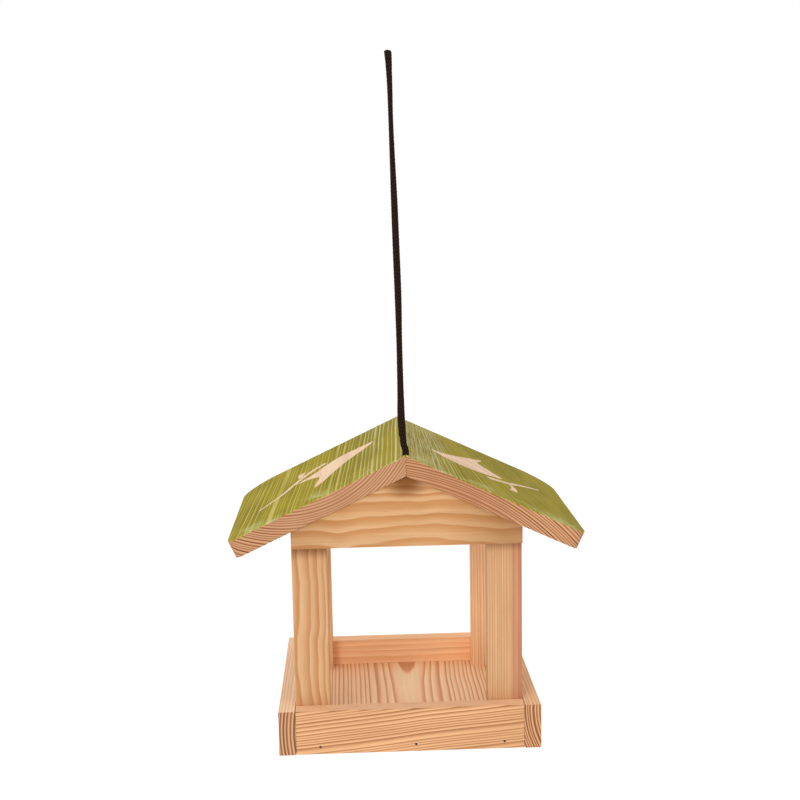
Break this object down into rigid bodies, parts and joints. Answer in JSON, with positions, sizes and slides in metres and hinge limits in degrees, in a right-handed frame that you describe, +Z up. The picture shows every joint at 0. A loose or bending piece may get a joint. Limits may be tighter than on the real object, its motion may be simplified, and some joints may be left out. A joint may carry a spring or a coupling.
{
  "type": "hanging bird feeder",
  "caption": "Hanging open-sided wooden bird feeder: a railed seed tray, corner posts, gables and a pitched stained roof on a braided cord loop.",
  "frame": {"origin": "inside the top of the cord loop, where it sits on the hook; the roof's ridge is 289 mm below and the tray's underside 513.5 mm below", "axes": "+X to the right as seen from the front, -Y to the front gable that the cord's front end enters, +Z up; the ridge runs along Y"},
  "size_m": [0.2602, 0.176, 0.5179],
  "materials": {
    "bare_pine": "planed, bare pine",
    "stained_pine": "pine with a thin green stain on the upper face",
    "nail_steel": "plain wire nails",
    "braided_cord": "braided synthetic cord"
  },
  "bodies": {
    "hanger": {"cord_loop": "braided_cord"},
    "house": {"floor_board": "bare_pine", "front_rail": "bare_pine", "rear_rail": "bare_pine", "left_rail": "bare_pine", "right_rail": "bare_pine", "front_left_post": "bare_pine", "front_right_post": "bare_pine", "rear_left_post": "bare_pine", "rear_right_post": "bare_pine", "front_gable": "bare_pine", "rear_gable": "bare_pine", "left_roof_board": "stained_pine", "right_roof_board": "stained_pine", "front_floor_nails": "nail_steel", "rear_floor_nails": "nail_steel", "left_floor_nails": "nail_steel", "right_floor_nails": "nail_steel", "left_corner_nails": "nail_steel", "right_corner_nails": "nail_steel", "left_post_nails": "nail_steel", "right_post_nails": "nail_steel", "front_gable_nails": "nail_steel", "rear_gable_nails": "nail_steel", "cord_pin": "nail_steel", "front_cord_end": "braided_cord", "rear_cord_end": "braided_cord"}
  },
  "joints": [
    {"name": "house_roll", "type": "hinge", "parent": "hanger", "child": "house", "pos_m": [0, 0, -0.2862], "axis": [0, 1, 0], "range_deg": [-60, 60]}
  ]
}
